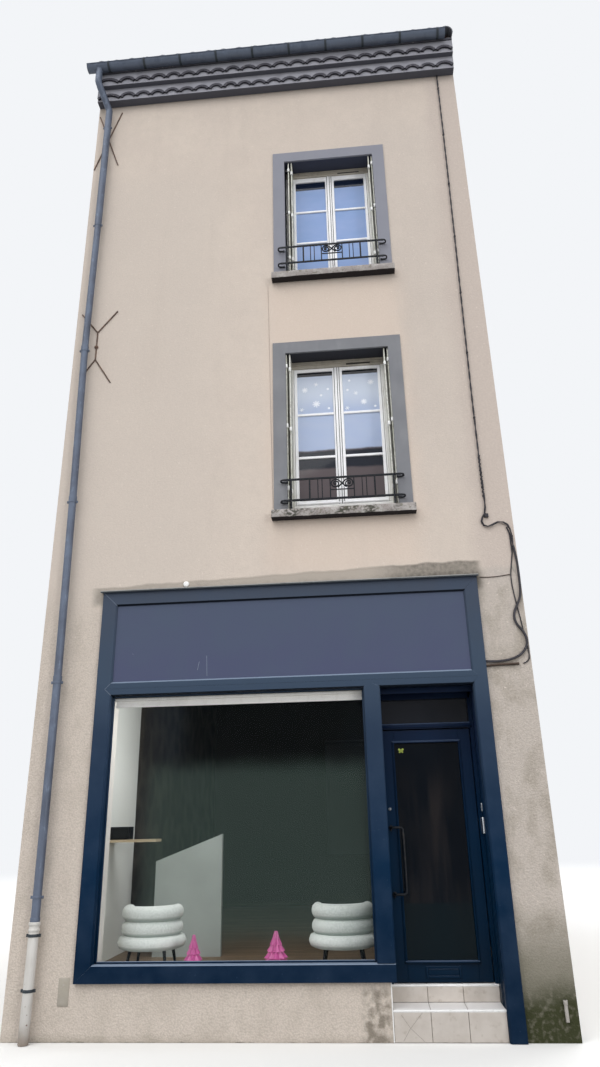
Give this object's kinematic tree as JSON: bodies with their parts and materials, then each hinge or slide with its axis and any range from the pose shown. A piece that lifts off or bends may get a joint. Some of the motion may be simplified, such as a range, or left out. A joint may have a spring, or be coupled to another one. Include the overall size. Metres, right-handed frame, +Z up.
{
  "type": "terraced house with ground-floor shop",
  "caption": "Narrow three-storey terraced town house with a painted shopfront, hinged shop door, rendered walls, tiled eaves cornice and clay tile roof.",
  "frame": {"origin": "middle of the underside of the house, level with the lowest ground at the street wall", "axes": "+Z up, +X to the right along the street seen from the street, +Y from the street into the house"},
  "size_m": [5.035, 8.718, 13.1115],
  "materials": {
    "wall_render": "matt scraped mineral render",
    "lower_render": "matt coarse mineral render, weathered",
    "party_render": "matt plain mineral render",
    "floor_boards": "matt boards",
    "white_plaster": "matt white plaster",
    "cornice_paint": "matt masonry paint over tile and mortar",
    "clay_tile": "matt weathered clay",
    "dark_zinc": "satin weathered zinc",
    "grey_zinc": "matt weathered zinc",
    "cap_zinc": "satin sheet metal",
    "boot_iron": "matt painted cast iron",
    "rusty_iron": "matt rusted iron",
    "shop_paint": "satin paint",
    "sign_paint": "matt paint",
    "door_paint": "satin paint",
    "window_glass": "clear glass",
    "white_metal": "satin powder coat",
    "hinge_steel": "satin steel",
    "black_metal": "satin black paint",
    "step_tile": "matt floor tile",
    "panel_steel": "satin steel",
    "surround_paint": "matt masonry paint",
    "sill_stone": "rough weathered stone",
    "window_paint": "satin cream finish",
    "shutter_paint": "satin powder coat",
    "cable_sheath": "matt rubber sheath"
  },
  "bodies": {
    "building": {"front_pier_left": "lower_render", "front_pier_right": "lower_render", "stall_riser": "lower_render", "front_wall_first_floor": "wall_render", "front_wall_second_floor": "wall_render", "party_wall_left": "party_render", "party_wall_right": "party_render", "rear_wall_ground_floor": "wall_render", "rear_wall_first_floor": "wall_render", "rear_wall_second_floor": "wall_render", "ground_floor": "floor_boards", "first_floor": "floor_boards", "second_floor": "floor_boards", "shop_partition": "white_plaster", "wall_shelf": "floor_boards", "cornice_front": "cornice_paint", "cornice_rear": "cornice_paint", "roof_front": "clay_tile", "roof_rear": "clay_tile", "ridge_tiles": "clay_tile", "front_gutter": "dark_zinc", "rear_gutter": "dark_zinc", "downpipe": "grey_zinc", "rear_downpipe": "grey_zinc", "downpipe_boot": "boot_iron", "wall_anchors": "rusty_iron", "shopfront_frame": "shop_paint", "sign_panel": "sign_paint", "drip_cap": "cap_zinc", "shop_window_glass": "window_glass", "blind_box": "white_metal", "doorway_lining": "shop_paint", "door_frame": "door_paint", "transom_glass": "window_glass", "door_hinges": "hinge_steel", "door_steps": "step_tile", "entry_panel": "panel_steel", "window_surrounds": "surround_paint", "window_sills": "sill_stone", "first_floor_window": "window_paint", "second_floor_window": "window_paint", "rear_windows": "window_paint", "window_glass": "window_glass", "shutters": "shutter_paint", "first_guard_rail": "black_metal", "second_guard_rail": "black_metal", "drop_cable": "cable_sheath"},
    "door": {"door_leaf": "door_paint", "door_glass": "window_glass", "door_handle": "black_metal", "letter_plate": "door_paint"}
  },
  "joints": [
    {"name": "shop_door_hinge", "type": "hinge", "parent": "building", "child": "door", "pos_m": [1.856, -3.605, 0.375], "axis": [0, 0, -1], "range_deg": [0, 90]}
  ]
}
